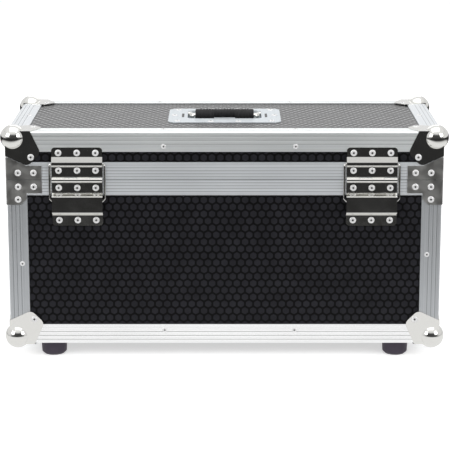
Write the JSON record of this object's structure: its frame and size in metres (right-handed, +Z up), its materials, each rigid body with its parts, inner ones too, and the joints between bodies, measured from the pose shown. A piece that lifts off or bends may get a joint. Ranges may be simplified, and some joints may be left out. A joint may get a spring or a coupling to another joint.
{
  "type": "lighting flight case",
  "caption": "Rectangular flight case with a hinged lid on two stay hinges, a recessed lifting handle, recessed twist latches, metal edges, ball corners, rubber feet and foam lining.",
  "frame": {"origin": "on the floor under the middle of the case", "axes": "+X along the case to the right seen from the hinge side, +Y from the hinge side to the latch side, +Z up"},
  "size_m": [0.663, 0.31, 0.359],
  "materials": {
    "board": "black laminate with a hexagon pattern",
    "extrusion": "satin anodised, fine lengthwise grooves",
    "chrome": "bright plated pressed steel",
    "steel": "bright zinc",
    "rubber": "matt",
    "foam": "soft grey foam"
  },
  "bodies": {
    "base": {"base_floor": "board", "base_wall_hinge": "board", "base_wall_latch": "board", "base_wall_left": "board", "base_wall_right": "board", "base_edges_long": "extrusion", "base_edges_short": "extrusion", "base_corner_posts": "extrusion", "base_rim_hinge": "extrusion", "base_rim_latch": "extrusion", "base_rims_short": "extrusion", "base_ball_corners": "chrome", "base_corner_braces": "chrome", "feet": "rubber", "base_foam_floor": "foam", "base_foam_walls": "foam", "hinge_base_leaf_left": "chrome", "hinge_base_leaf_right": "chrome", "hinge_pins": "steel", "latch_dish_left": "chrome", "latch_dish_right": "chrome"},
    "lid": {"lid_top": "board", "lid_wall_hinge": "board", "lid_wall_latch": "board", "lid_wall_left": "board", "lid_wall_right": "board", "lid_edges_long": "extrusion", "lid_edges_short": "extrusion", "lid_corner_posts": "extrusion", "lid_rim_hinge": "extrusion", "lid_rim_latch": "extrusion", "lid_rims_short": "extrusion", "lid_ball_corners": "chrome", "lid_corner_braces": "chrome", "lid_foam_top": "foam", "lid_foam_walls": "foam", "hinge_lid_leaf_left": "chrome", "hinge_lid_leaf_right": "chrome", "latch_keeper_left": "chrome", "latch_keeper_right": "chrome", "handle_dish": "chrome"},
    "stay_ring_left": {"stay_ring_left": "steel"},
    "stay_ring_right": {"stay_ring_right": "steel"},
    "handle": {"handle_bail": "chrome", "handle_grip": "rubber"},
    "latch_rotor_left": {"latch_rotor_left": "steel"},
    "latch_wing_left_west": {"latch_wing_left_west": "steel"},
    "latch_wing_left_east": {"latch_wing_left_east": "steel"},
    "latch_hook_left": {"latch_hook_left": "steel"},
    "latch_rotor_right": {"latch_rotor_right": "steel"},
    "latch_wing_right_west": {"latch_wing_right_west": "steel"},
    "latch_wing_right_east": {"latch_wing_right_east": "steel"},
    "latch_hook_right": {"latch_hook_right": "steel"}
  },
  "joints": [
    {"name": "lid_hinge", "type": "hinge", "parent": "base", "child": "lid", "pos_m": [0, -0.15, 0.276], "axis": [1, 0, 0], "range_deg": [0, 90]},
    {"name": "stay_ring_left_swing", "type": "hinge", "parent": "lid", "child": "stay_ring_left", "pos_m": [-0.218, -0.14795, 0.3], "axis": [1, 0, 0], "range_deg": [-62, 0]},
    {"name": "stay_ring_right_swing", "type": "hinge", "parent": "lid", "child": "stay_ring_right", "pos_m": [0.218, -0.14795, 0.3], "axis": [1, 0, 0], "range_deg": [-62, 0]},
    {"name": "handle_lift", "type": "hinge", "parent": "lid", "child": "handle", "pos_m": [0, 0.038, 0.343], "axis": [-1, 0, 0], "range_deg": [0, 90], "stiffness_Nm_per_rad": 0.25},
    {"name": "latch_left_turn", "type": "hinge", "parent": "base", "child": "latch_rotor_left", "pos_m": [-0.19, 0.1414, 0.245], "axis": [0, 1, 0], "range_deg": [0, 180]},
    {"name": "latch_left_hook_tilt", "type": "hinge", "parent": "base", "child": "latch_hook_left", "pos_m": [-0.19, 0.1355, 0.224], "axis": [1, 0, 0], "range_deg": [0, 4.5]},
    {"name": "latch_left_wing_east_lift", "type": "hinge", "parent": "latch_rotor_left", "child": "latch_wing_left_east", "pos_m": [-0.1858, 0.1433, 0.245], "axis": [0, 0, 1], "range_deg": [0, 90]},
    {"name": "latch_left_wing_west_lift", "type": "hinge", "parent": "latch_rotor_left", "child": "latch_wing_left_west", "pos_m": [-0.1942, 0.1433, 0.245], "axis": [0, 0, -1], "range_deg": [0, 90]},
    {"name": "latch_right_turn", "type": "hinge", "parent": "base", "child": "latch_rotor_right", "pos_m": [0.19, 0.1414, 0.245], "axis": [0, 1, 0], "range_deg": [0, 180]},
    {"name": "latch_right_hook_tilt", "type": "hinge", "parent": "base", "child": "latch_hook_right", "pos_m": [0.19, 0.1355, 0.224], "axis": [1, 0, 0], "range_deg": [0, 4.5]},
    {"name": "latch_right_wing_east_lift", "type": "hinge", "parent": "latch_rotor_right", "child": "latch_wing_right_east", "pos_m": [0.1942, 0.1433, 0.245], "axis": [0, 0, 1], "range_deg": [0, 90]},
    {"name": "latch_right_wing_west_lift", "type": "hinge", "parent": "latch_rotor_right", "child": "latch_wing_right_west", "pos_m": [0.1858, 0.1433, 0.245], "axis": [0, 0, -1], "range_deg": [0, 90]}
  ],
  "couplings": [
    {"joint": "stay_ring_left_swing", "follows": "lid_hinge", "ratio": -0.6872},
    {"joint": "stay_ring_right_swing", "follows": "lid_hinge", "ratio": -0.6872},
    {"joint": "latch_left_hook_tilt", "follows": "latch_left_turn", "ratio": 0.025},
    {"joint": "latch_left_wing_west_lift", "follows": "latch_left_wing_east_lift", "ratio": 1},
    {"joint": "latch_right_hook_tilt", "follows": "latch_right_turn", "ratio": 0.025},
    {"joint": "latch_right_wing_west_lift", "follows": "latch_right_wing_east_lift", "ratio": 1}
  ]
}
